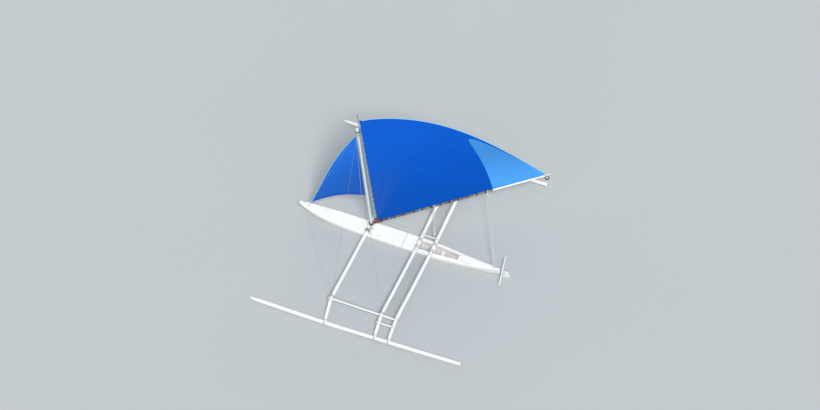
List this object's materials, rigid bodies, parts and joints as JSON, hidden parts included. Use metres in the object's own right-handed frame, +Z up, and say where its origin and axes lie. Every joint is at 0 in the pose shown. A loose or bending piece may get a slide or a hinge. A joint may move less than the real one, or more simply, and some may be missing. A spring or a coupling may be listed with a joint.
{
  "type": "double-outrigger sailing canoe",
  "caption": "Slim decked canoe with an outrigger float on each side, crossbeams, nets, a jib and a large triangular mainsail that swings with its boom.",
  "frame": {"origin": "amidships on the centreline, on the waterline", "axes": "+X towards the bow, +Y to port, +Z up"},
  "size_m": [10.7822, 10.531, 10.025],
  "materials": {
    "hull_paint": "white paint",
    "spar_paint": "white paint",
    "inner_paint": "worn paint",
    "bamboo": "weathered bamboo",
    "boom_wood": "bamboo and white paint",
    "main_cloth": "woven sailcloth",
    "jib_cloth": "woven sailcloth",
    "net_cord": "knotted netting",
    "rope": "laid rope",
    "dark_rope": "tarred rope",
    "stay_wire": "stranded wire",
    "fitting": "galvanised"
  },
  "bodies": {
    "boat": {"beam_aft": "spar_paint", "beam_fore": "spar_paint", "beam_middle": "spar_paint", "boom_rest": "dark_rope", "bow_crosspiece": "spar_paint", "bow_guy_port": "rope", "bow_guy_starboard": "rope", "coaming_aft": "spar_paint", "coaming_middle": "spar_paint", "float_port": "spar_paint", "float_starboard": "spar_paint", "forestay": "stay_wire", "gudgeon_lower": "fitting", "gudgeon_upper": "fitting", "hull_aft_floor": "hull_paint", "hull_aft_side_port": "hull_paint", "hull_aft_side_starboard": "hull_paint", "hull_bow": "hull_paint", "hull_bridge": "hull_paint", "hull_fore": "hull_paint", "hull_middle_floor": "hull_paint", "hull_middle_side_port": "hull_paint", "hull_middle_side_starboard": "hull_paint", "hull_stern": "hull_paint", "jib": "jib_cloth", "leg_aft_port": "spar_paint", "leg_aft_starboard": "spar_paint", "leg_fore_port": "spar_paint", "leg_fore_starboard": "spar_paint", "leg_middle_port": "spar_paint", "leg_middle_starboard": "spar_paint", "leg_rung_port": "spar_paint", "leg_rung_starboard": "spar_paint", "mast": "spar_paint", "mast_step": "bamboo", "masthead_band": "fitting", "net_port": "net_cord", "net_rail_port": "spar_paint", "net_rail_starboard": "spar_paint", "net_starboard": "net_cord", "rub_rail_port": "spar_paint", "rub_rail_starboard": "spar_paint", "saddle_aft": "spar_paint", "saddle_fore": "spar_paint", "saddle_middle": "spar_paint", "seat": "inner_paint", "shroud_aft_port": "stay_wire", "shroud_aft_starboard": "stay_wire", "shroud_fore_port": "stay_wire", "shroud_fore_starboard": "stay_wire", "side_brace_port": "spar_paint", "side_brace_starboard": "spar_paint"},
    "sail_rig": {"boom": "boom_wood", "boom_jaw": "boom_wood", "mainsail": "main_cloth", "parrel": "dark_rope", "yard": "bamboo"},
    "rudder_set": {"rudder": "spar_paint", "rudder_yoke": "spar_paint"}
  },
  "joints": [
    {"name": "boom_swing", "type": "hinge", "parent": "boat", "child": "sail_rig", "pos_m": [1.356, 0, 0.91], "axis": [0, 0, 1], "range_deg": [-75.2, 8.4]},
    {"name": "rudder_turn", "type": "hinge", "parent": "boat", "child": "rudder_set", "pos_m": [-5.03, 0, 0.3], "axis": [0, 0, 1], "range_deg": [-46.5, 23.5]}
  ]
}
